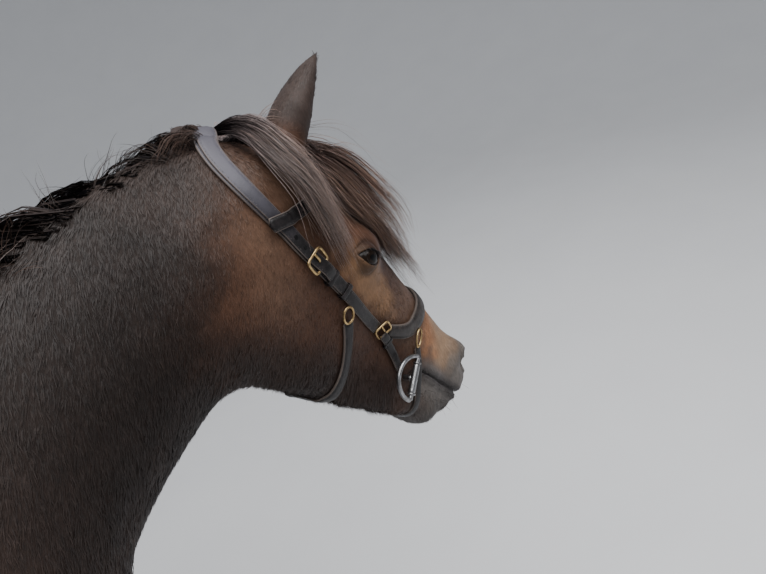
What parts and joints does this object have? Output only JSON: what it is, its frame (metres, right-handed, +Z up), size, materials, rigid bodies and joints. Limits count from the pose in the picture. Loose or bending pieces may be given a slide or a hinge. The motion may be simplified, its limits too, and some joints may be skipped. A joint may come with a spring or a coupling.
{
  "type": "icelandic horse",
  "caption": "Life-size standing Icelandic horse with arched neck, lowered head, long mane and tail, wearing a leather bridle with bit",
  "frame": {"origin": "middle of the model's outline on the floor, under the belly", "axes": "+X towards the horse's front, along its length; +Y towards its left; +Z up"},
  "size_m": [2.2492, 0.5908, 1.5459],
  "materials": {
    "coat": "short dense winter hair, seal brown",
    "leg_coat": "short dense hair, near black",
    "hair": "long coarse hair, dark brown with lighter tips",
    "hoof_horn": "dark horn with fine growth rings",
    "eye": "wet, very dark brown",
    "bridle_leather": "dark brown bridle leather, stitched",
    "bridle_brass": "polished",
    "bit_steel": "polished, lightly worn"
  },
  "bodies": {
    "root": {"eye_right": "eye", "eye_left": "eye", "head": "coat", "neck": "coat", "torso": "coat", "foreleg_right": "leg_coat", "hoof_fore_right": "hoof_horn", "hindleg_right": "leg_coat", "hoof_hind_right": "hoof_horn", "foreleg_left": "leg_coat", "hoof_fore_left": "hoof_horn", "hindleg_left": "leg_coat", "hoof_hind_left": "hoof_horn", "ear_right": "coat", "ear_left": "coat", "mane": "hair", "tail": "hair", "forelock": "hair", "headpiece": "bridle_leather", "noseband": "bridle_leather", "browband": "bridle_leather", "jaw_strap": "bridle_leather", "chin_strap": "bridle_leather", "cheekpiece_right": "bridle_leather", "bit_strap_right": "bridle_leather", "cheek_buckle_right": "bridle_brass", "bit_buckle_right": "bridle_brass", "jaw_ring_right": "bridle_brass", "chin_ring_right": "bridle_brass", "bit_ring_right": "bit_steel", "cheekpiece_left": "bridle_leather", "bit_strap_left": "bridle_leather", "cheek_buckle_left": "bridle_brass", "bit_buckle_left": "bridle_brass", "jaw_ring_left": "bridle_brass", "chin_ring_left": "bridle_brass", "bit_ring_left": "bit_steel", "bit_mouthpiece": "bit_steel"}
  },
  "joints": []
}
